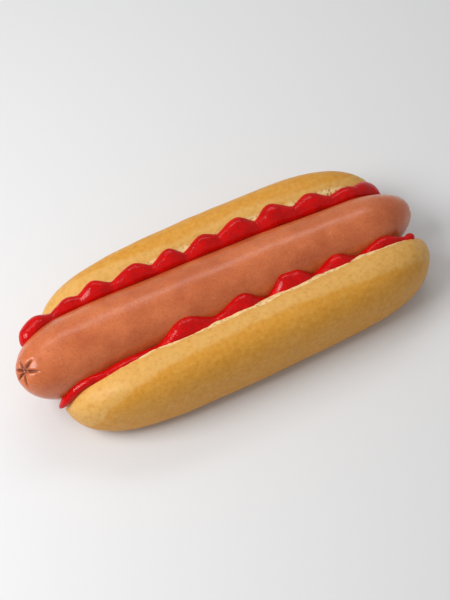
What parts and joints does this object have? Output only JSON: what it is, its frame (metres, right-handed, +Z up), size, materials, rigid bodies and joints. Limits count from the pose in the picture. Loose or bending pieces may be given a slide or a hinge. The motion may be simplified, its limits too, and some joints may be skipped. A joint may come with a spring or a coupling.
{
  "type": "hot dog",
  "caption": "Frankfurter in a soft bun cut open along its top, with a wavy bead of ketchup along each side of the sausage.",
  "frame": {"origin": "middle of the flat base that the bun rests on, at the middle of the whole hot dog's box", "axes": "+X along the sausage away from its puckered overhanging end, +Y across to the rear half of the bun, +Z up"},
  "size_m": [0.1729, 0.0734, 0.0377],
  "materials": {
    "bread": "soft satin crust, golden brown outside and pale tan towards the cut, with open crumb on the cut faces",
    "sausage_skin": "smooth moist skin with a soft shine",
    "ketchup": "wet, glossy and a little translucent"
  },
  "bodies": {
    "root": {"bun": "bread", "sausage": "sausage_skin", "ketchup_front": "ketchup", "ketchup_rear": "ketchup"}
  },
  "joints": []
}
